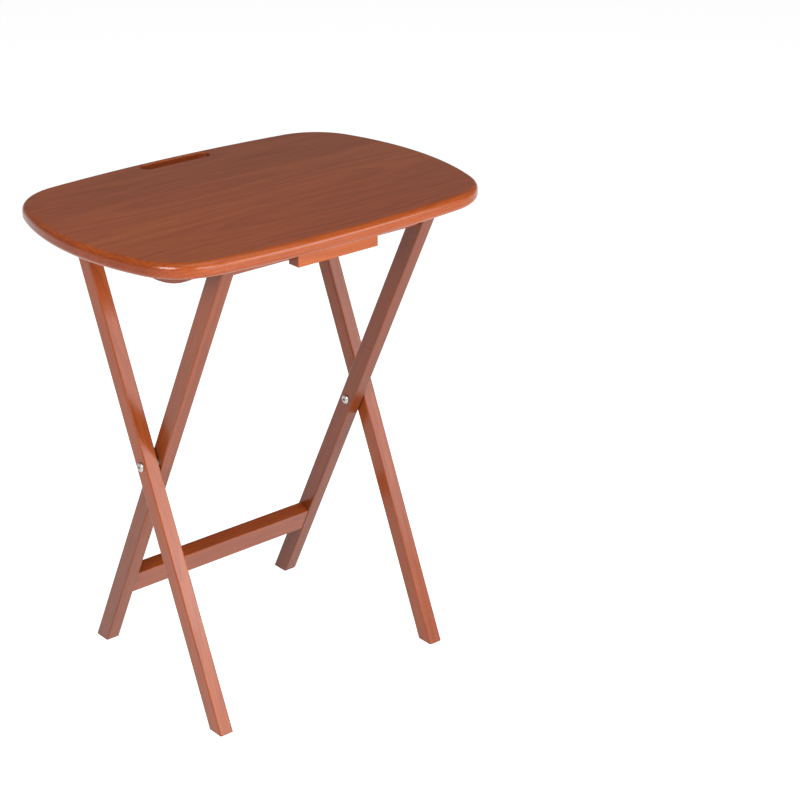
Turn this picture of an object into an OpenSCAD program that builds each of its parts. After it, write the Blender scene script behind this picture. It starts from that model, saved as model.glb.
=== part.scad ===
// Folding tray table: a bow-sided wooden top with a hand slot, carried on two
// pairs of crossed legs that fold flat. All sizes are in millimetres, +Z is up.
// The origin is on the floor, under the middle of the top. The long sides of the
// top run along X and the hand slot is beside the far (+Y) long side.

/* [Whole table] */
// Overall width of the top, along X
top_width = 562; // [480:1:680]
// Overall depth of the top, along Y
top_depth = 394; // [340:1:480]
// Height of the top's upper face above the floor
table_height = 660; // [600:1:720]

/* [Top] */
// Thickness of the top
top_thickness = 20; // [16:1:25]
// How far the long sides bow outwards in the middle
long_side_bow = 10; // [4:1:24]
// How far the short sides bow outwards in the middle
short_side_bow = 17; // [4:1:24]
// Radius of the four corners in plan
corner_radius = 87; // [50:1:120]
// Rounding of the upper edge all round the top
upper_edge_round = 8; // [2:0.5:9]
// Rounding of the lower edge all round the top
lower_edge_round = 7; // [2:0.5:9]

/* [Hand slot] */
// Overall length of the hand slot
slot_length = 108; // [90:1:140]
// Width of the hand slot
slot_width = 22; // [18:1:32]
// Width of the strip left between the slot and the far edge
slot_strip = 11; // [9:1:30]

/* [Legs] */
// Thickness of each leg, along X
leg_thickness = 20; // [18:0.5:25]
// Width of each leg across its length
leg_width = 24; // [20:0.5:32]
// Rounding of the long edges of the legs
leg_edge_round = 2; // [0.5:0.5:4]
// Tilt of the outer legs away from upright
outer_leg_tilt = 23.2; // [20:0.1:28]
// Tilt of the inner legs away from upright
inner_leg_tilt = 26.3; // [20:0.1:30]
// Distance from the middle to the outer face of the outer legs
outer_leg_face = 190; // [160:1:210]
// Space between an outer leg and the inner leg beside it
leg_gap = 3; // [2:0.5:5]
// Height of the pivot bolts where the legs cross
cross_height = 330; // [290:1:340]
// Position of the leg crossing along Y
cross_y = 1; // [-40:1:40]

/* [Lower stretcher] */
// Width of the stretcher, measured along the legs
stretcher_width = 40; // [30:1:50]
// Thickness of the stretcher
stretcher_thickness = 19; // [15:1:22]
// Distance from the leg crossing down to the middle of the stretcher
stretcher_drop = 245; // [200:1:280]
// Set-back of the stretcher from the front faces of the inner legs
stretcher_setback = 1; // [0:0.5:4]

/* [Catch under the top] */
// Length of the catch block
catch_length = 124; // [80:1:160]
// Height of the catch block below the top
catch_height = 22; // [18:1:30]
// Distance of the block's front face from the near edge of the top
catch_inset = 25; // [8:1:30]
// Diameter of the round rail that rests in the catch block
rail_diameter = 14; // [12:1:18]
// Depth of the rail's centre below the underside of the top
rail_drop = 13; // [10:0.5:18]

/* [Side cleats] */
// Width of each cleat under the top, along X
cleat_width = 20; // [16:1:26]
// Height of each cleat
cleat_height = 24; // [22:1:34]
// Y position of the near end of the cleats
cleat_near = -166; // [-170:1:-120]
// Distance the cleats run on beyond the top pivots
cleat_beyond = 20; // [14:1:30]
// Depth of the top pivots below the underside of the top
pivot_drop = 15; // [14:0.5:20]

/* [Hardware] */
// Diameter of the round bolt and nut heads
head_diameter = 13; // [10:0.5:16]
// Height of the round bolt and nut heads
head_height = 3.2; // [2:0.1:5]
// Shank diameter of the pivot bolts
bolt_diameter = 6; // [5:0.5:8]
// Outside diameter of the sleeve nuts at the leg crossing
sleeve_diameter = 8; // [7:0.5:10]
// Radial running clearance of the pivots
running_clearance = 0.05; // [0.02:0.01:0.1]

/* [Hidden] */
$fn = 64;

// Small overlaps that keep cuts clean
eps = 0.01;
over = 1;
// Free gap between a moving piece and the piece it passes or rests beside
rest_gap = 0.3;
// Side play of a washer between two turning pieces
side_play = 0.2;

// Heights
underside = table_height - top_thickness;
half_width = top_width / 2;
half_depth = top_depth / 2;

// X positions of the right-hand legs and cleat
outer_leg_inside = outer_leg_face - leg_thickness;
inner_leg_outside = outer_leg_inside - leg_gap;
inner_leg_inside = inner_leg_outside - leg_thickness;
outer_leg_middle = outer_leg_face - leg_thickness / 2;
cleat_inside = outer_leg_face + leg_gap;
cleat_middle = cleat_inside + cleat_width / 2;

// Top pivot, on the centre line of the outer legs
pivot_z = underside - pivot_drop;
pivot_along = (pivot_z - cross_height) / cos(outer_leg_tilt);
pivot_y = cross_y + (pivot_z - cross_height) * tan(outer_leg_tilt);
cleat_far = pivot_y + cleat_beyond;

// The near end of each cleat sweeps up in a long curve, from this position
cleat_full = cleat_near + 80;
cleat_sweep = 160;

// Round rail, on the centre line of the inner legs
rail_z = underside - rail_drop;
rail_along = (rail_z - cross_height) / cos(inner_leg_tilt);
rail_y = cross_y - (rail_z - cross_height) * tan(inner_leg_tilt);
rail_tenon_diameter = 10;
rail_tenon_length = 14;
inner_leg_top = underside - 1;

// Long enough for every leg to be trimmed at its ends
leg_reach = table_height;

// Stretcher in the inner legs' own frame
stretcher_front = -leg_width / 2 + stretcher_setback;
stretcher_mid_y = stretcher_front + stretcher_thickness / 2;
dowel_diameter = 8;
dowel_length = 30;
dowel_in_leg = 14;
dowel_pitch = 20;

// Catch block
catch_front = -half_depth + catch_inset;
catch_groove = rail_diameter / 2 + rest_gap;
catch_back = rail_y + catch_groove;
catch_screw_x = 42;
catch_screw_y = catch_front + 10;

// Wood screws
screw_diameter = 4;
screw_head = 8;
screw_head_height = 2.6;
screw_bite = 12;
cleat_screw_recess = 9;
catch_screw_recess = 5;
cleat_screw_y = [cleat_full + 18, (cleat_full + pivot_y - 14) / 2, pivot_y - 32];

// Washers, and threaded insert in the cleat
washer_diameter = 16;
insert_diameter = 10;
insert_length = 15;
flat_head_height = 3.8;
flat_head_pocket = 4.5;

// Slot centre
slot_y = half_depth - slot_strip - slot_width / 2;

// Colours for the preview
wood_colour = [0.62, 0.30, 0.16];
dowel_colour = [0.80, 0.62, 0.42];
metal_colour = [0.78, 0.76, 0.72];

// ---------- plan outline of the top ----------

// Corner-arc centre, for a given inset from the full outline
function corner_x() = half_width - corner_radius - short_side_bow;
function corner_y() = half_depth - corner_radius - long_side_bow;
// Radius of an arc from its half chord and its bow
function bow_radius(chord, bow) = (chord * chord + bow * bow) / (2 * bow);
long_radius = bow_radius(corner_x(), long_side_bow);
short_radius = bow_radius(corner_y(), short_side_bow);
long_angle = asin(corner_x() / long_radius);
short_angle = asin(corner_y() / short_radius);
long_centre = half_depth - corner_radius - long_radius;
short_centre = half_width - corner_radius - short_radius;

arc_steps = 10;
function long_point(a, r) = [(long_radius + r) * sin(a), long_centre + (long_radius + r) * cos(a)];
function corner_point(a, r) = [corner_x() + r * sin(a), corner_y() + r * cos(a)];
function short_point(a, r) = [short_centre + (short_radius + r) * cos(a), (short_radius + r) * sin(a)];

// One quarter, from the middle of the long side to the middle of the short side
function quarter(r) = concat(
    [for (k = [0 : arc_steps]) long_point(long_angle * k / arc_steps, r)],
    [for (k = [1 : arc_steps]) corner_point(long_angle + (90 - short_angle - long_angle) * k / arc_steps, r)],
    [for (k = [1 : arc_steps]) short_point(short_angle * (1 - k / arc_steps), r)]
);

// The whole outline, drawn in by the inset, as a closed ring at height z
function ring(inset, z) = let (
    q = quarter(corner_radius - inset),
    n = len(q) - 1
) concat(
    [for (k = [0 : n]) [q[k][0], q[k][1], z]],
    [for (k = [n - 1 : -1 : 0]) [q[k][0], -q[k][1], z]],
    [for (k = [1 : n]) [-q[k][0], -q[k][1], z]],
    [for (k = [n - 1 : -1 : 1]) [-q[k][0], q[k][1], z]]
);

// Rings from the flat underside, round both edges, to the flat upper face
edge_steps = 6;
function edge_angle(k) = 90 * k / edge_steps;
function lower_ring(a) = ring(lower_edge_round * (1 - cos(a)), underside + lower_edge_round * (1 - sin(a)));
function upper_ring(a) = ring(upper_edge_round * (1 - cos(a)), table_height - upper_edge_round * (1 - sin(a)));

module board() {
    rings = concat(
        [for (k = [edge_steps : -1 : 0]) lower_ring(edge_angle(k))],
        [for (k = [0 : edge_steps]) upper_ring(edge_angle(k))]
    );
    levels = len(rings);
    count = len(rings[0]);
    walls = [
        for (level = [0 : levels - 2])
            for (k = [0 : count - 1])
                [
                    level * count + k,
                    level * count + (k + 1) % count,
                    (level + 1) * count + (k + 1) % count,
                    (level + 1) * count + k
                ]
    ];
    floor_face = [for (k = [count - 1 : -1 : 0]) k];
    top_face = [for (k = [0 : count - 1]) (levels - 1) * count + k];
    polyhedron(points = [for (r = rings) for (p = r) p], faces = concat([floor_face], walls, [top_face]), convexity = 4);
}

module hand_slot() {
    half_run = (slot_length - slot_width) / 2;
    for (side = [-1, 1]) {
        translate([side * half_run, slot_y, underside - over]) cylinder(d = slot_width, h = top_thickness + 2 * over);
    }
    translate([-half_run, slot_y - slot_width / 2, underside - over]) cube([2 * half_run, slot_width, top_thickness + 2 * over]);
}

// ---------- shared shapes ----------

module rounded_section(x, y, r) {
    square([x - 2 * r, y], center = true);
    square([x, y - 2 * r], center = true);
    for (i = [-1, 1]) {
        for (j = [-1, 1]) {
            translate([i * (x / 2 - r), j * (y / 2 - r)]) circle(r = r, $fn = 32);
        }
    }
}

// Cylinder along +X from x to x + length
module rod_x(d, x, length) {
    translate([x, 0, 0]) rotate([0, 90, 0]) cylinder(d = d, h = length);
}

// Frame of the outer legs: local Z runs up a leg, origin at the crossing
module along_outer() {
    translate([0, cross_y, cross_height]) rotate([-outer_leg_tilt, 0, 0]) children();
}

// Frame of the inner legs
module along_inner() {
    translate([0, cross_y, cross_height]) rotate([inner_leg_tilt, 0, 0]) children();
}

module leg_bar(middle_x) {
    translate([middle_x, 0, -leg_reach]) linear_extrude(height = 2 * leg_reach) rounded_section(leg_thickness, leg_width, leg_edge_round);
}

// Keeps what stands between the floor and a height
module between_floor_and(top) {
    translate([-half_width, -half_width, 0]) cube([top_width, top_width, top]);
}

// Countersunk wood screw pointing up from the origin, head at the bottom
module wood_screw(length) {
    difference() {
        union() {
            cylinder(d1 = screw_head, d2 = screw_diameter, h = screw_head_height);
            cylinder(d = screw_diameter, h = length - 3);
            translate([0, 0, length - 3]) cylinder(d1 = screw_diameter, d2 = 1, h = 3);
        }
        translate([0, 0, 0.6]) cube([4.4, 0.9, 2], center = true);
        translate([0, 0, 0.6]) cube([0.9, 4.4, 2], center = true);
    }
}

// Hole for the same screw, with a round recess below its head
module screw_hole(length, recess) {
    translate([0, 0, -recess - over]) cylinder(d = screw_head + 0.6, h = recess + over);
    cylinder(d1 = screw_head + 0.1, d2 = screw_diameter + 0.1, h = screw_head_height);
    cylinder(d = screw_diameter + 0.1, h = length + 0.5);
}

// Low crowned head with a hexagonal recess, outer side towards +X from x
module domed_head(x) {
    rim = head_height * 0.4;
    shoulder = head_height * 0.35;
    crown = head_height - rim - shoulder;
    difference() {
        translate([x, 0, 0]) rotate([0, 90, 0]) {
            cylinder(d = head_diameter, h = rim);
            translate([0, 0, rim - eps]) cylinder(d1 = head_diameter, d2 = head_diameter * 0.86, h = shoulder + eps);
            translate([0, 0, rim + shoulder - eps]) cylinder(d1 = head_diameter * 0.86, d2 = head_diameter * 0.6, h = crown + eps);
        }
        translate([x + head_height - 2, 0, 0]) rotate([0, 90, 0]) cylinder(d = 4.6, h = 3, $fn = 6);
    }
}

module washer(d_hole, x, length) {
    difference() {
        rod_x(washer_diameter, x, length);
        rod_x(d_hole, x - over, length + 2 * over);
    }
}

// Everything is drawn for the right-hand side; the left is its mirror image
module left() {
    mirror([1, 0, 0]) children();
}

// ---------- the top ----------

module tabletop() {
    color(wood_colour) difference() {
        board();
        hand_slot();
        cleat_screw_holes();
        left() cleat_screw_holes();
        catch_screw_holes();
    }
}

module cleat_screw_holes() {
    for (y = cleat_screw_y) {
        translate([cleat_middle, y, underside - cleat_height + cleat_screw_recess]) screw_hole(cleat_height - cleat_screw_recess + screw_bite, cleat_screw_recess);
    }
}

module catch_screw_holes() {
    for (x = [-catch_screw_x, catch_screw_x]) {
        translate([x, catch_screw_y, underside - catch_height + catch_screw_recess]) screw_hole(catch_height - catch_screw_recess + screw_bite, catch_screw_recess);
    }
}

module cleat_right() {
    end_round = 10;
    color(wood_colour) difference() {
        translate([cleat_inside, cleat_near, underside - cleat_height]) cube([cleat_width, cleat_far - cleat_near, cleat_height]);
        cleat_end_cut(cleat_full - cleat_sweep, 1, cleat_sweep);
        cleat_end_cut(cleat_far, -1, end_round);
        cleat_screw_holes();
        translate([0, pivot_y, pivot_z]) rod_x(insert_diameter + 0.1, cleat_inside - over, insert_length + over);
    }
}

// Rounds the lower corner at one end of a cleat
module cleat_end_cut(y_end, inward, r) {
    z_low = underside - cleat_height;
    difference() {
        translate([cleat_inside - over, min(y_end, y_end + inward * r) - (inward > 0 ? over : 0), z_low - over]) cube([cleat_width + 2 * over, r + over, r + over]);
        translate([0, y_end + inward * r, z_low + r]) rod_x(2 * r, cleat_inside - 2 * over, cleat_width + 4 * over);
    }
}

module cleat_screws_right() {
    color(metal_colour) for (y = cleat_screw_y) {
        translate([cleat_middle, y, underside - cleat_height + cleat_screw_recess]) wood_screw(cleat_height - cleat_screw_recess + screw_bite);
    }
}

// Solid block with a round seat at its lower back corner, where the rail rests
module catch_block() {
    z_low = underside - catch_height;
    color(wood_colour) difference() {
        translate([-catch_length / 2, catch_front, z_low]) cube([catch_length, catch_back - catch_front, catch_height]);
        translate([0, rail_y, rail_z]) rod_x(2 * catch_groove, -catch_length, 2 * catch_length);
        translate([-catch_length, rail_y - catch_groove, z_low - over]) cube([2 * catch_length, 2 * catch_groove + over, rail_z - z_low + over]);
        translate([-catch_length, rail_y, z_low - over]) cube([2 * catch_length, catch_groove + over, rail_z + catch_groove - z_low + over]);
        catch_screw_holes();
    }
}

module catch_screws() {
    color(metal_colour) for (x = [-catch_screw_x, catch_screw_x]) {
        translate([x, catch_screw_y, underside - catch_height + catch_screw_recess]) wood_screw(catch_height - catch_screw_recess + screw_bite);
    }
}

// ---------- outer legs ----------

// Half round in flats, about the top pivot, so the end of the leg clears the top
module eased_end() {
    flats = 12;
    turn = 180 / flats;
    translate([0, 0, pivot_along]) rotate([0, 90, 0]) rotate([0, 0, turn]) cylinder(d = leg_width / cos(turn), h = half_width, $fn = flats);
}

module outer_leg_right() {
    color(wood_colour) intersection() {
        along_outer() difference() {
            intersection() {
                leg_bar(outer_leg_middle);
                union() {
                    eased_end();
                    translate([0, -leg_width, -leg_reach]) cube([half_width, 2 * leg_width, leg_reach + pivot_along]);
                }
            }
            rod_x(bolt_diameter + 2 * running_clearance, 0, half_width);
            translate([0, 0, pivot_along]) rod_x(bolt_diameter + 2 * running_clearance, 0, half_width);
            translate([0, 0, pivot_along]) rod_x(head_diameter + 1, outer_leg_inside - over, flat_head_pocket + over);
        }
        between_floor_and(underside);
    }
}

// ---------- inner legs ----------

module inner_leg_right() {
    color(wood_colour) intersection() {
        along_inner() difference() {
            leg_bar((inner_leg_inside + inner_leg_outside) / 2);
            rod_x(sleeve_diameter + 2 * running_clearance, 0, half_width);
            translate([0, 0, rail_along]) rod_x(rail_tenon_diameter + 0.1, 0, inner_leg_inside + rail_tenon_length + 0.5);
            stretcher_dowel_holes();
        }
        between_floor_and(inner_leg_top);
    }
}

module at_stretcher_dowels() {
    for (k = [-0.5, 0.5]) {
        translate([0, stretcher_mid_y, -stretcher_drop + k * dowel_pitch]) children();
    }
}

module stretcher_dowel_holes() {
    start = inner_leg_inside + dowel_in_leg - dowel_length;
    at_stretcher_dowels() rod_x(dowel_diameter + 0.1, start - 0.5, dowel_length + 1);
}

module stretcher_dowels_right() {
    start = inner_leg_inside + dowel_in_leg - dowel_length;
    color(dowel_colour) along_inner() at_stretcher_dowels() rod_x(dowel_diameter, start, dowel_length);
}

module lower_stretcher() {
    color(wood_colour) along_inner() difference() {
        translate([-inner_leg_inside, stretcher_mid_y, -stretcher_drop]) rotate([90, 0, 90]) linear_extrude(height = 2 * inner_leg_inside) rounded_section(stretcher_thickness, stretcher_width, leg_edge_round / 2);
        stretcher_dowel_holes();
        left() stretcher_dowel_holes();
    }
}

// Round rail with a smaller tenon at each end
module catch_rail() {
    reach = inner_leg_inside + rail_tenon_length;
    color(wood_colour) along_inner() translate([0, 0, rail_along]) {
        rod_x(rail_diameter, -inner_leg_inside, 2 * inner_leg_inside);
        rod_x(rail_tenon_diameter, -reach, 2 * reach);
    }
}

// ---------- pivots at the leg crossing ----------

module at_crossing() {
    translate([0, cross_y, cross_height]) children();
}

module pivot_bolt_right() {
    tip = inner_leg_inside + 6;
    color(metal_colour) at_crossing() {
        domed_head(outer_leg_face);
        rod_x(bolt_diameter, tip, outer_leg_face - tip + eps);
    }
}

module pivot_nut_right() {
    sleeve_end = outer_leg_inside - 1;
    color(metal_colour) at_crossing() difference() {
        union() {
            translate([2 * inner_leg_inside, 0, 0]) mirror([1, 0, 0]) domed_head(inner_leg_inside);
            rod_x(sleeve_diameter, inner_leg_inside - eps, sleeve_end - inner_leg_inside + eps);
        }
        rod_x(bolt_diameter + 0.1, inner_leg_inside + 3, leg_thickness + leg_gap);
    }
}

module pivot_washer_right() {
    color(metal_colour) at_crossing() washer(sleeve_diameter + 0.4, inner_leg_outside + side_play, leg_gap - side_play);
}

// ---------- pivots between the outer legs and the top ----------

module at_top_pivot() {
    translate([0, pivot_y, pivot_z]) children();
}

module top_bolt_right() {
    seat = outer_leg_inside + flat_head_pocket - side_play;
    color(metal_colour) at_top_pivot() difference() {
        union() {
            rod_x(head_diameter, seat - flat_head_height, flat_head_height);
            rod_x(bolt_diameter, seat - eps, cleat_inside + insert_length - 1 - seat);
        }
        translate([seat - flat_head_height - over, 0, 0]) rotate([0, 90, 0]) cylinder(d = 4.6, h = 2 + over, $fn = 6);
    }
}

module top_nut_right() {
    color(metal_colour) at_top_pivot() difference() {
        rod_x(insert_diameter, cleat_inside, insert_length);
        rod_x(bolt_diameter + 0.1, cleat_inside - over, insert_length + 2 * over);
    }
}

module top_washer_right() {
    color(metal_colour) at_top_pivot() washer(bolt_diameter + 0.4, outer_leg_face + side_play, leg_gap - side_play);
}

// ---------- drawing ----------

tabletop();
left() cleat_right();  // cleat_left
cleat_right();
left() cleat_screws_right();  // cleat_screws_left
cleat_screws_right();
catch_block();
catch_screws();
left() outer_leg_right();  // outer_leg_left
outer_leg_right();
left() inner_leg_right();  // inner_leg_left
inner_leg_right();
lower_stretcher();
left() stretcher_dowels_right();  // stretcher_dowels_left
stretcher_dowels_right();
catch_rail();
left() pivot_bolt_right();  // pivot_bolt_left
pivot_bolt_right();
left() pivot_nut_right();  // pivot_nut_left
pivot_nut_right();
left() pivot_washer_right();  // pivot_washer_left
pivot_washer_right();
left() top_bolt_right();  // top_bolt_left
top_bolt_right();
left() top_nut_right();  // top_nut_left
top_nut_right();
left() top_washer_right();  // top_washer_left
top_washer_right();
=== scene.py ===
"""Looks of the folding tray table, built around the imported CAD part.

Every length is in metres in the row frame: origin on the floor under the middle
of the top, +Z up, long sides of the top along X, hand slot on the +Y side.
"""
import math

import bmesh
import bpy
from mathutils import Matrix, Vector


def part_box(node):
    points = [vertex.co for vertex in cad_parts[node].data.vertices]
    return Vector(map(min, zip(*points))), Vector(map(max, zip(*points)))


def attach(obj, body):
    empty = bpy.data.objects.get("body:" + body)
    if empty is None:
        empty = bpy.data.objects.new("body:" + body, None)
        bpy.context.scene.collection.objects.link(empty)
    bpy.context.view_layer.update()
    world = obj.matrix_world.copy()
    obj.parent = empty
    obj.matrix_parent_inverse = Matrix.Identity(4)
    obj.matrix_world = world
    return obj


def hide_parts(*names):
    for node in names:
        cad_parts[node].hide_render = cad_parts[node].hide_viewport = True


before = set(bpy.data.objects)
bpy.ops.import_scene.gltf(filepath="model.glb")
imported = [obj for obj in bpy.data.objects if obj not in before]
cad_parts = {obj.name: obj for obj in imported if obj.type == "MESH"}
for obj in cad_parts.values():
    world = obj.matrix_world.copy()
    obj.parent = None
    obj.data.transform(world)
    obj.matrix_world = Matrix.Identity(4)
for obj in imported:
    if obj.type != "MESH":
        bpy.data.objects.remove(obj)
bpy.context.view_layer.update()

MM = 0.001

# ---------------------------------------------------------------- sizes

# Plan outline and edges of the board, as in the CAD
LONG_BOW, SHORT_BOW, CORNER_RADIUS = 10 * MM, 17 * MM, 87 * MM
UPPER_ROUND, LOWER_ROUND = 8 * MM, 7 * MM
# Hand slot, beside the far long side
SLOT_LENGTH, SLOT_WIDTH, SLOT_STRIP = 108 * MM, 22 * MM, 11 * MM
SLOT_LIP = 1.8 * MM
# Steps along each quarter of the outline, round each slot end, and round each edge
LONG_STEPS, CORNER_STEPS, SHORT_STEPS = 22, 18, 14
SLOT_END_STEPS = 16
EDGE_STEPS, LIP_STEPS = 8, 6
# Tilt of the two pairs of legs away from upright
OUTER_TILT, INNER_TILT = math.radians(23.2), math.radians(26.3)
# Width of the edge easing on each kind of piece, and the sharpest angle left alone
LEG_EASE, RAIL_EASE, DOWEL_EASE = 1.3 * MM, 1.0 * MM, 0.4 * MM
BOLT_EASE, WASHER_EASE, SCREW_EASE = 0.35 * MM, 0.25 * MM, 0.12 * MM
WOOD_EDGE_ANGLE, METAL_EDGE_ANGLE = math.radians(35), math.radians(28)
EASE_SEGMENTS = 3


# ---------------------------------------------------------------- meshes

def board_outline(inset, half_x, half_y):
    """Bow-sided outline drawn in by inset: [(x, y, outward normal x, y)], a closed loop."""
    cx = half_x - CORNER_RADIUS - SHORT_BOW
    cy = half_y - CORNER_RADIUS - LONG_BOW
    long_r = (cx * cx + LONG_BOW ** 2) / (2 * LONG_BOW)
    short_r = (cy * cy + SHORT_BOW ** 2) / (2 * SHORT_BOW)
    long_a, short_a = math.asin(cx / long_r), math.asin(cy / short_r)
    long_c = half_y - CORNER_RADIUS - long_r
    short_c = half_x - CORNER_RADIUS - short_r
    r = CORNER_RADIUS - inset
    quarter = []
    for k in range(LONG_STEPS + 1):
        a = long_a * k / LONG_STEPS
        n = (math.sin(a), math.cos(a))
        quarter.append(((long_r + r) * n[0], long_c + (long_r + r) * n[1], *n))
    for k in range(1, CORNER_STEPS + 1):
        a = long_a + (math.pi / 2 - short_a - long_a) * k / CORNER_STEPS
        n = (math.sin(a), math.cos(a))
        quarter.append((cx + r * n[0], cy + r * n[1], *n))
    for k in range(1, SHORT_STEPS + 1):
        a = short_a * (1 - k / SHORT_STEPS)
        n = (math.cos(a), math.sin(a))
        quarter.append((short_c + (short_r + r) * n[0], (short_r + r) * n[1], *n))

    def flip(points, sx, sy):
        return [(sx * x, sy * y, sx * nx, sy * ny) for x, y, nx, ny in points]

    return (quarter
            + flip(quarter[-2::-1], 1, -1)
            + flip(quarter[1:], -1, -1)
            + flip(quarter[-2:0:-1], -1, 1))


def slot_outline(grow, centre_y):
    """Stadium outline of the hand slot, grown by grow, with normals pointing into the slot."""
    half_run = (SLOT_LENGTH - SLOT_WIDTH) / 2
    r = SLOT_WIDTH / 2 + grow
    points = []
    for side in (1, -1):
        for k in range(SLOT_END_STEPS + 1):
            a = side * math.pi / 2 - side * math.pi * k / SLOT_END_STEPS
            n = (side * math.cos(a), math.sin(a))
            points.append((side * half_run + r * n[0], centre_y + r * n[1], -n[0], -n[1]))
    return points


def edge_profile(low, high, lower_r, upper_r, steps):
    """Side profile from the underside to the upper face: [(inset, z, outward, upward)], where
    outward and upward are the two parts of the normal."""
    rows = []
    for k in range(steps + 1):
        a = math.pi / 2 * (1 - k / steps)
        out, up = math.cos(a), math.sin(a)
        rows.append((lower_r * (1 - out), low + lower_r * (1 - up), out, -up))
    for k in range(steps + 1):
        a = math.pi / 2 * k / steps
        out, up = math.cos(a), math.sin(a)
        rows.append((upper_r * (1 - out), high - upper_r * (1 - up), out, up))
    return rows


def make_board():
    """The top as one closed mesh with exact normals: rounded edges, and a slot with soft lips."""
    lo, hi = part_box("tabletop")
    half_x, half_y = (hi.x - lo.x) / 2, (hi.y - lo.y) / 2
    slot_y = half_y - SLOT_STRIP - SLOT_WIDTH / 2
    bm = bmesh.new()
    normals = []

    def add_wall(outline_at, profile):
        rings = []
        for inset, z, out, up in profile:
            ring = []
            for x, y, nx, ny in outline_at(inset):
                ring.append(bm.verts.new((x, y, z)))
                normals.append((nx * out, ny * out, up))
            rings.append(ring)
        for low, high in zip(rings, rings[1:]):
            for k in range(len(low)):
                j = (k + 1) % len(low)
                bm.faces.new((low[k], low[j], high[j], high[k]))
        return rings[0], rings[-1]

    outer = add_wall(lambda i: board_outline(i, half_x, half_y),
                     edge_profile(lo.z, hi.z, LOWER_ROUND, UPPER_ROUND, EDGE_STEPS))
    inner = add_wall(lambda i: slot_outline(i, slot_y),
                     edge_profile(lo.z, hi.z, SLOT_LIP, SLOT_LIP, LIP_STEPS))
    for end, normal in ((0, (0, 0, -1)), (1, (0, 0, 1))):
        edges = []
        for ring in (outer[end], inner[end]):
            edges += [bm.edges.get((a, b)) for a, b in zip(ring, ring[1:] + ring[:1])]
        bmesh.ops.triangle_fill(bm, use_beauty=True, use_dissolve=False, edges=edges,
                                normal=normal)
    bmesh.ops.recalc_face_normals(bm, faces=bm.faces)
    for f in bm.faces:
        f.smooth = True
    mesh = bpy.data.meshes.new("top_board")
    bm.to_mesh(mesh)
    bm.free()
    mesh.normals_split_custom_set_from_vertices(normals)
    board = bpy.data.objects.new("top_board", mesh)
    bpy.context.scene.collection.objects.link(board)
    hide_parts("tabletop")
    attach(board, "top")
    return board


def soften(node, width, edge_angle=WOOD_EDGE_ANGLE):
    """Eases the sharp edges of a CAD node and gives it clean shading, by modifiers only. The
    easing stays clamped: without that, the outer legs bulge at their bolt recesses."""
    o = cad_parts[node]
    weld = o.modifiers.new("weld", "WELD")
    weld.merge_threshold = 0.002 * MM
    flat = o.modifiers.new("flat", "DECIMATE")
    flat.decimate_type = "DISSOLVE"
    flat.angle_limit = math.radians(0.5)
    bevel = o.modifiers.new("bevel", "BEVEL")
    bevel.limit_method = "ANGLE"
    bevel.angle_limit = edge_angle
    bevel.width = width
    bevel.segments = EASE_SEGMENTS
    bevel.use_clamp_overlap = True
    shade = o.modifiers.new("shade", "WEIGHTED_NORMAL")
    shade.weight = 100
    shade.keep_sharp = False


# ---------------------------------------------------------------- materials

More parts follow.
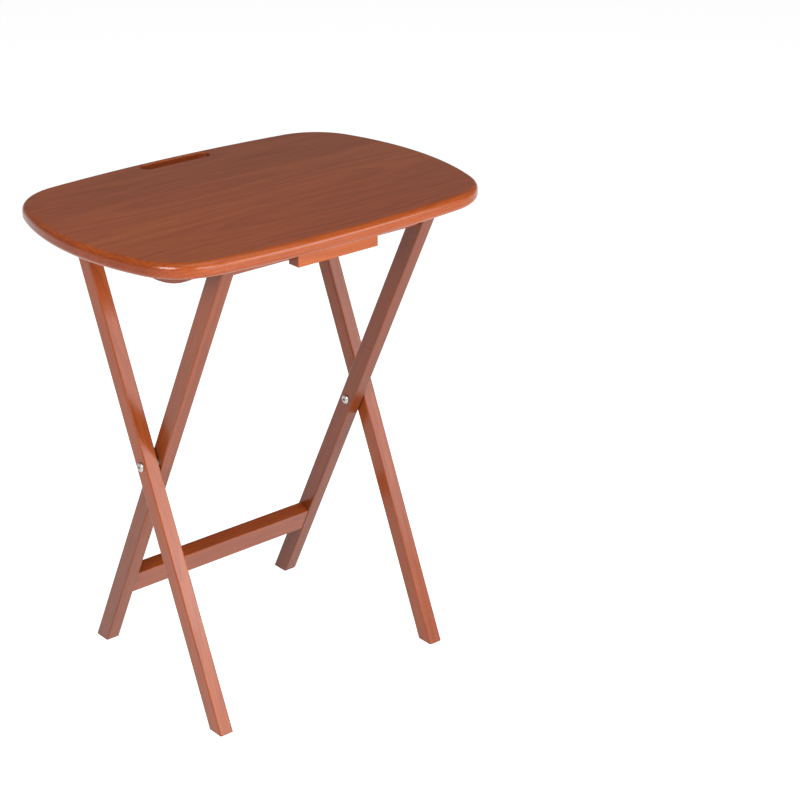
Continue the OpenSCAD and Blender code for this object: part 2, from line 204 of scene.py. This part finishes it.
class Shader:
    """A material's node tree, with short calls for the nodes used here."""

    def __init__(self, name):
        self.material = bpy.data.materials.new(name)
        self.material.use_nodes = True
        self.tree = self.material.node_tree
        self.tree.nodes.clear()
        self.surface = self.node("ShaderNodeBsdfPrincipled")
        out = self.node("ShaderNodeOutputMaterial")
        self.tree.links.new(self.surface.outputs[0], out.inputs["Surface"])

    def node(self, kind, **settings):
        n = self.tree.nodes.new(kind)
        for key, value in settings.items():
            setattr(n, key, value)
        return n

    def put(self, socket, value):
        if isinstance(value, bpy.types.NodeSocket):
            self.tree.links.new(value, socket)
        elif value is not None:
            socket.default_value = value

    def math(self, operation, a, b=None, c=None):
        n = self.node("ShaderNodeMath", operation=operation)
        for socket, value in zip(n.inputs, (a, b, c)):
            self.put(socket, value)
        return n.outputs[0]

    def vector(self, operation, a, b=None):
        n = self.node("ShaderNodeVectorMath", operation=operation)
        self.put(n.inputs[0], a)
        self.put(n.inputs[1], b)
        return n.outputs["Value"] if operation == "DOT_PRODUCT" else n.outputs[0]

    def about_half(self, value, share, base):
        """base plus share times how far value is from one half."""
        return self.math("MULTIPLY_ADD", self.math("SUBTRACT", value, 0.5), share, base)

    def combine(self, x, y, z):
        n = self.node("ShaderNodeCombineXYZ")
        for socket, value in zip(n.inputs, (x, y, z)):
            self.put(socket, value)
        return n.outputs[0]

    def noise(self, at, detail, rough=0.5, distortion=0.0, scale=1.0):
        n = self.node("ShaderNodeTexNoise")
        self.put(n.inputs["Vector"], at)
        n.inputs["Scale"].default_value = scale
        n.inputs["Detail"].default_value = detail
        n.inputs["Roughness"].default_value = rough
        n.inputs["Distortion"].default_value = distortion
        return n.outputs["Fac"]

    def span(self, value, low, high, to_low=0.0, to_high=1.0, kind="SMOOTHSTEP"):
        n = self.node("ShaderNodeMapRange", interpolation_type=kind)
        for socket, v in zip(n.inputs, (value, low, high, to_low, to_high)):
            self.put(socket, v)
        return n.outputs[0]

    def ramp(self, value, stops):
        n = self.node("ShaderNodeValToRGB")
        while len(n.color_ramp.elements) < len(stops):
            n.color_ramp.elements.new(0.5)
        for e, (position, colour) in zip(n.color_ramp.elements, stops):
            e.position = position
            e.color = (*colour, 1)
        self.put(n.inputs[0], value)
        return n.outputs[0]

    def mix(self, share, a, b):
        n = self.node("ShaderNodeMix", data_type="RGBA")
        self.put(n.inputs["Factor"], share)
        # Inputs 6 and 7 and output 2 are the node's colour sockets
        for socket, value in ((n.inputs[6], a), (n.inputs[7], b)):
            self.put(socket, (*value, 1) if isinstance(value, tuple) else value)
        return n.outputs[2]

    def bump(self, height, strength, distance):
        n = self.node("ShaderNodeBump")
        n.inputs["Strength"].default_value = strength
        n.inputs["Distance"].default_value = distance
        self.put(n.inputs["Height"], height)
        self.put(self.surface.inputs["Normal"], n.outputs[0])


def unit(v):
    return tuple(Vector(v).normalized())


# Growth rings: their spacing, how far they ripple, and where one ring darkens and ends
RING_SPACING, RING_RIPPLE = 0.0044, 0.0030
RING_DARKENS, RING_ENDS = (0.30, 0.85), (0.88, 1.0)
# The pith line they grow about lies below the stock, and wanders: nearest place, spread, wander
PITH_ACROSS, PITH_BELOW = (-0.043, 0.07, 0.016), (-0.060, -0.05, 0.030)
# Fibre figure: length, width, noise detail, noise roughness
BROAD_FIBRE = (0.35, 0.030, 2.0, 0.6)
MIDDLE_FIBRE = (0.075, 0.0034, 3.0, 0.6)
FINE_FIBRE = (0.032, 0.0012, 3.0, 0.65)
PORE_FIBRE = (0.009, 0.0006, 2.0, 0.6)
# How much each part of the figure moves the stain's depth, about its middle level
MIDDLE_LEVEL = 0.53
BROAD_SHARE, MIDDLE_SHARE, FINE_SHARE = 0.26, 0.20, 0.32
RING_SHARE, DOWEL_RING_SHARE = 0.08, 0.12
STRIP_SHARE, FLECK_SHARE, END_GRAIN_SHARE = 0.10, -0.08, -0.27
# Stain colour from its deepest to its lightest
STAIN = (
    (0.0, (0.088, 0.012, 0.0025)),
    (0.30, (0.165, 0.028, 0.0050)),
    (0.55, (0.250, 0.050, 0.0085)),
    (1.0, (0.430, 0.115, 0.0210)),
)
PORE_COLOUR, PORE_STRENGTH = (0.075, 0.014, 0.004), 0.26
# Painted shade in the hand slot, on top of a darker stain on its cut walls: its colour and how
# strongly it is painted
SLOT_SHADE_COLOUR, SLOT_SHADE_STRENGTH = (0.075, 0.012, 0.005), 0.60
LACQUER_ROUGHNESS, LACQUER_SPECULAR = 0.21, 0.3


def wood(name, along, across, centre, tone=(1, 1, 1), seed=0.0, boards=None,
         ring=RING_SHARE, shaded_hollow=None):
    """Stained and lacquered solid wood. The figure is worked out in the round, from growth rings
    about a pith line, so faces, edges and end grain agree. along is the grain direction, across
    the width of the stock, and boards the width of the glued strips. tone multiplies the stain's
    red, green and blue. The last argument is a box (centre, half size) over the slot's cut walls,
    which are painted darker: painted shade in the slot, on top of a darker stain on those walls."""
    s = Shader(name)
    place = s.node("ShaderNodeTexCoord")
    at = s.vector("SUBTRACT", place.outputs["Object"], tuple(centre))
    thick = Vector(along).cross(Vector(across))
    u, v, w = (s.vector("DOT_PRODUCT", at, unit(axis)) for axis in (along, across, thick))

    # Each glued strip is its own piece of wood, with its own tone and figure
    if boards:
        strip = s.math("FLOOR", s.math("DIVIDE", v, boards))
        pick = s.node("ShaderNodeTexWhiteNoise", noise_dimensions="1D")
        s.put(pick.inputs["W"], s.math("ADD", strip, seed))
        parts = s.node("ShaderNodeSeparateColor")
        s.put(parts.inputs[0], pick.outputs["Color"])
        r1, r2, r3 = parts.outputs
        v_in = s.math("SUBTRACT", v, s.math("MULTIPLY", s.math("ADD", strip, 0.5), boards))
    else:
        r1, r2, r3 = (math.sin(seed * k + k) * 0.5 + 0.5 for k in (12.9, 78.2, 37.7))
        v_in = v
    shift = s.math("MULTIPLY_ADD", r1, 7.0, u)

    # Growth rings: distance from the wandering pith line
    drift = s.combine(s.math("MULTIPLY", shift, 1.9), s.math("MULTIPLY_ADD", r2, 5.0, seed), 0.0)
    wander = s.noise(drift, 1.5)

    def pith(pick, nearest, spread, sway):
        return s.math("MULTIPLY_ADD", pick, spread, s.math("MULTIPLY_ADD", wander, sway, nearest))

    dv = s.math("SUBTRACT", v_in, pith(r2, *PITH_ACROSS))
    dw = s.math("SUBTRACT", w, pith(r3, *PITH_BELOW))
    squares = s.math("ADD", s.math("MULTIPLY", dv, dv), s.math("MULTIPLY", dw, dw))
    reach = s.math("SQRT", squares)
    ripple = s.noise(s.combine(s.math("MULTIPLY", shift, 14.0), s.math("MULTIPLY", v, 120.0),
                               s.math("MULTIPLY", w, 120.0)), 3.0, 0.6)
    reach = s.math("MULTIPLY_ADD", ripple, RING_RIPPLE, reach)
    phase = s.math("FRACT", s.math("DIVIDE", reach, RING_SPACING))
    late = s.span(phase, *RING_DARKENS, 0, 1)
    early = s.span(phase, *RING_ENDS, 1, 0)
    rings = s.math("MULTIPLY", late, early)

    # Fibres at several widths, long in the grain and narrow across it
    def fibre(length, width, detail, rough):
        stretched = s.combine(s.math("MULTIPLY", shift, 1 / length),
                              s.math("MULTIPLY", v, 1 / width), s.math("MULTIPLY", w, 1 / width))
        return s.noise(stretched, detail, rough)

    broad, middle, fine = fibre(*BROAD_FIBRE), fibre(*MIDDLE_FIBRE), fibre(*FINE_FIBRE)
    pores = s.span(fibre(*PORE_FIBRE), 0.60, 0.74, 0, 1)

    level = s.about_half(broad, BROAD_SHARE, MIDDLE_LEVEL)
    level = s.about_half(middle, MIDDLE_SHARE, level)
    level = s.about_half(fine, FINE_SHARE, level)
    level = s.math("MULTIPLY_ADD", rings, -ring, level)
    if boards:
        level = s.about_half(r3, STRIP_SHARE, level)
    # Dark flecks where a fibre band runs deep
    fleck = s.span(s.math("MULTIPLY", middle, fine), 0.19, 0.12, 0, 1)
    level = s.math("MULTIPLY_ADD", fleck, FLECK_SHARE, level)
    # Stain soaks in deeper at the end grain
    facing = s.vector("DOT_PRODUCT", place.outputs["Normal"], unit(along))
    ends = s.math("POWER", s.math("ABSOLUTE", facing), 3.0)
    level = s.math("MULTIPLY_ADD", ends, END_GRAIN_SHARE, level)

    stain = [(stop, tuple(c * t for c, t in zip(colour, tone))) for stop, colour in STAIN]
    colour = s.mix(s.math("MULTIPLY", pores, PORE_STRENGTH), s.ramp(level, stain), PORE_COLOUR)
    # Painted shade: the slot's cut walls are painted darker, on top of a darker stain there
    if shaded_hollow:
        shade_middle, half = shaded_hollow
        from_middle = s.vector("SUBTRACT", place.outputs["Object"], tuple(shade_middle))
        over = s.node("ShaderNodeSeparateXYZ")
        s.put(over.inputs[0], s.vector("SUBTRACT", s.vector("ABSOLUTE", from_middle), tuple(half)))
        over_x, over_y, over_z = over.outputs
        furthest = s.math("MAXIMUM", over_x, s.math("MAXIMUM", over_y, over_z))
        slot_shade_share = s.span(furthest, -0.8 * MM, 0.4 * MM, SLOT_SHADE_STRENGTH, 0)
        colour = s.mix(slot_shade_share, colour, SLOT_SHADE_COLOUR)
    s.put(s.surface.inputs["Base Color"], colour)
    s.surface.inputs["Specular IOR Level"].default_value = LACQUER_SPECULAR

    # Satin lacquer over very faint grain relief
    patch = s.noise(place.outputs["Object"], 2.0, scale=9.0)
    gloss = s.about_half(patch, 0.10, s.about_half(fine, 0.08, LACQUER_ROUGHNESS))
    s.put(s.surface.inputs["Roughness"], gloss)
    relief = s.math("MULTIPLY_ADD", pores, -0.6, s.math("MULTIPLY_ADD", middle, 0.8, fine))
    s.bump(relief, 0.12, 0.08 * MM)
    return s.material


def metal(name, colour, dull, roughness):
    """Plated metal with fine handling marks and slightly uneven plating."""
    s = Shader(name)
    place = s.node("ShaderNodeTexCoord").outputs["Object"]
    cloud = s.noise(place, 3.0, 0.6, scale=220.0)
    marks = s.noise(place, 2.0, 0.6, distortion=0.8, scale=900.0)
    uneven = s.span(cloud, 0.35, 0.7, kind="LINEAR")
    s.put(s.surface.inputs["Base Color"], s.mix(uneven, colour, dull))
    s.surface.inputs["Metallic"].default_value = 1.0
    s.put(s.surface.inputs["Roughness"], s.about_half(marks, 0.16, roughness))
    s.bump(marks, 0.15, 0.03 * MM)
    return s.material


def paint(o, material):
    """Gives an object one material, on its own slots where it came with some."""
    if not o.material_slots:
        o.data.materials.append(material)
        return
    for slot in o.material_slots:
        slot.link = "OBJECT"
        slot.material = material


def centre_of(node):
    lo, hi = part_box(node)
    return (lo + hi) / 2


def finish_wood(node, ease, grain, width, **looks):
    """Eases and paints one wooden CAD node."""
    soften(node, ease)
    paint(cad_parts[node], wood("wood_" + node, grain, width, centre_of(node), **looks))


def finish_metal(node, ease, look):
    """Eases and paints one metal CAD node."""
    soften(node, ease, METAL_EDGE_ANGLE)
    paint(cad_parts[node], look)


# ---------------------------------------------------------------- the object

board = make_board()
X, Y, Z = (1, 0, 0), (0, 1, 0), (0, 0, 1)
outer_dir = (0, math.sin(OUTER_TILT), math.cos(OUTER_TILT))
inner_dir = (0, -math.sin(INNER_TILT), math.cos(INNER_TILT))

# Box of painted shade over the slot's cut walls, which also took a darker stain: the slot grown
# past its lips, and kept between the two faces
top_lo, top_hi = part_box("tabletop")
slot_y = top_hi.y - SLOT_STRIP - SLOT_WIDTH / 2
slot_shade_middle = Vector((0, slot_y, (top_lo.z + top_hi.z) / 2))
slot_shade_half = Vector((SLOT_LENGTH / 2 + 2 * MM, SLOT_WIDTH / 2 + 2 * MM,
                    (top_hi.z - top_lo.z) / 2 - 0.8 * MM))
STRIP_WIDTH = 68 * MM
paint(board, wood("top_wood", X, Y, centre_of("tabletop"), boards=STRIP_WIDTH, seed=3.0,
                  shaded_hollow=(slot_shade_middle, slot_shade_half)))

# Each piece is its own stick of wood: grain direction, width direction, seed, and how it took
# # the stain. The inner legs' darker tones are partly their own stain and partly painted shade
# # from the top above them
for node, ease, grain, width, seed, tone in (
    ("outer_leg_left", LEG_EASE, outer_dir, X, 1.7, (0.93, 0.97, 1.30)),
    ("outer_leg_right", LEG_EASE, outer_dir, X, 4.2, (0.80, 0.80, 1.00)),
    # Inner legs: darker tones, partly their own stain and partly painted shade under the top
    ("inner_leg_left", LEG_EASE, inner_dir, X, 6.9, (0.66, 0.70, 1.05)),
    ("inner_leg_right", LEG_EASE, inner_dir, X, 9.1, (0.55, 0.55, 0.85)),
    ("lower_stretcher", RAIL_EASE, X, inner_dir, 2.3, (0.80, 0.80, 1.00)),
    ("catch_rail", RAIL_EASE, X, Y, 5.5, (0.80, 0.80, 1.00)),
    ("catch_block", RAIL_EASE, X, Z, 7.7, (1.25, 1.35, 1.20)),
    ("cleat_left", RAIL_EASE, Y, Z, 8.8, (0.90, 0.90, 1.00)),
    ("cleat_right", RAIL_EASE, Y, Z, 3.6, (0.90, 0.90, 1.00)),
):
    finish_wood(node, ease, grain, width, seed=seed, tone=tone)

# Bare hardwood: the same figure with the stain's colour lifted
for side in ("left", "right"):
    finish_wood("stretcher_dowels_" + side, DOWEL_EASE, X, Y, seed=1.1, tone=(1.5, 3.6, 9.0),
                ring=DOWEL_RING_SHARE)

bright = metal("bright_metal", (0.52, 0.50, 0.46), (0.36, 0.34, 0.31), 0.40)
zinc = metal("zinc_metal", (0.66, 0.66, 0.63), (0.48, 0.48, 0.46), 0.38)
insert = metal("insert_metal", (0.70, 0.64, 0.48), (0.50, 0.45, 0.34), 0.40)
for side in ("left", "right"):
    for part, look, ease in (
        ("pivot_bolt_", bright, BOLT_EASE),
        ("pivot_nut_", bright, BOLT_EASE),
        ("top_bolt_", bright, BOLT_EASE),
        ("pivot_washer_", zinc, WASHER_EASE),
        ("top_washer_", zinc, WASHER_EASE),
        ("cleat_screws_", zinc, SCREW_EASE),
        ("top_nut_", insert, WASHER_EASE),
    ):
        finish_metal(part + side, ease, look)
finish_metal("catch_screws", SCREW_EASE, zinc)

# ---------------------------------------------------------------- studio

# A pale floor that gives off enough light of its own to look white, as in the photo
FLOOR_HALF = 40.0
FLOOR_BASE, FLOOR_ROUGHNESS, FLOOR_GLOW = (0.60, 0.60, 0.60, 1), 0.7, 0.80
WORLD_STRENGTH = 0.24
WHITE = (1, 1, 1, 1)
# Middle of the table, which the lights and the camera are aimed from
LOOK_AT = Vector((0, 0, 0.33))

floor_mesh = bpy.data.meshes.new("floor")
floor_corners = [(sx * FLOOR_HALF, sy * FLOOR_HALF, 0)
                 for sx, sy in ((-1, -1), (1, -1), (1, 1), (-1, 1))]
floor_mesh.from_pydata(floor_corners, [], [(0, 1, 2, 3)])
floor = bpy.data.objects.new("floor", floor_mesh)
bpy.context.scene.collection.objects.link(floor)
floor_shader = Shader("studio_floor")
floor_shader.surface.inputs["Base Color"].default_value = FLOOR_BASE
floor_shader.surface.inputs["Roughness"].default_value = FLOOR_ROUGHNESS
floor_shader.surface.inputs["Emission Color"].default_value = WHITE
floor_shader.surface.inputs["Emission Strength"].default_value = FLOOR_GLOW
floor_mesh.materials.append(floor_shader.material)


def softbox(name, azimuth, distance, height, size, watts):
    """Soft rectangular light aimed at the middle of the table. Azimuth 0 is in front, on the -Y
    side, and positive azimuths are towards +X."""
    a = math.radians(azimuth)
    place = Vector((math.sin(a) * distance, -math.cos(a) * distance, height))
    data = bpy.data.lights.new(name, "AREA")
    data.shape = "RECTANGLE"
    data.size, data.size_y = size
    data.energy = watts
    o = bpy.data.objects.new(name, data)
    o.location = place
    o.rotation_mode = "QUATERNION"
    o.rotation_quaternion = (LOOK_AT - place).to_track_quat("-Z", "Y")
    bpy.context.scene.collection.objects.link(o)


softbox("front_low", 11, 2.6, 0.46, (2.3, 0.8), 30)
softbox("front_high", -8, 1.7, 0.98, (0.9, 0.30), 11)
softbox("right", 32, 2.2, 0.95, (1.2, 0.9), 19)
softbox("left_high", -62, 2.0, 1.55, (0.8, 0.8), 45)
softbox("overhead", 10, 0.8, 2.40, (1.6, 1.6), 14)

world = bpy.data.worlds.new("studio")
world.use_nodes = True
background = world.node_tree.nodes["Background"]
background.inputs["Strength"].default_value = WORLD_STRENGTH
background.inputs["Color"].default_value = WHITE
bpy.context.scene.world = world
bpy.context.scene.view_settings.view_transform = "Standard"

# ---------------------------------------------------------------- camera

# The photo's viewpoint: turned round to the left and looking down, aimed so that the table stands
# left of the middle as it does there
CAMERA_AZIMUTH, CAMERA_ELEVATION = math.radians(-40.435), math.radians(23.517)
CAMERA_DISTANCE, CAMERA_RIGHT, CAMERA_UP = 2.69128, 0.18617, 0.03708
# Focal length as a share of the image width
FOCAL_SHARE = 2015.0 / 800
SENSOR_WIDTH = 36.0

back = Vector((math.sin(CAMERA_AZIMUTH) * math.cos(CAMERA_ELEVATION),
               -math.cos(CAMERA_AZIMUTH) * math.cos(CAMERA_ELEVATION),
               math.sin(CAMERA_ELEVATION)))
right = Vector((math.cos(CAMERA_AZIMUTH), math.sin(CAMERA_AZIMUTH), 0))
up = back.cross(right)
camera_data = bpy.data.cameras.new("camera")
camera_data.sensor_width = SENSOR_WIDTH
camera_data.lens = SENSOR_WIDTH * FOCAL_SHARE
camera_data.clip_start, camera_data.clip_end = 0.05, 60.0
camera = bpy.data.objects.new("camera", camera_data)
camera.location = LOOK_AT + right * CAMERA_RIGHT + up * CAMERA_UP + back * CAMERA_DISTANCE
camera.rotation_mode = "QUATERNION"
camera.rotation_quaternion = (-back).to_track_quat("-Z", "Y")
bpy.context.scene.collection.objects.link(camera)
bpy.context.scene.camera = camera
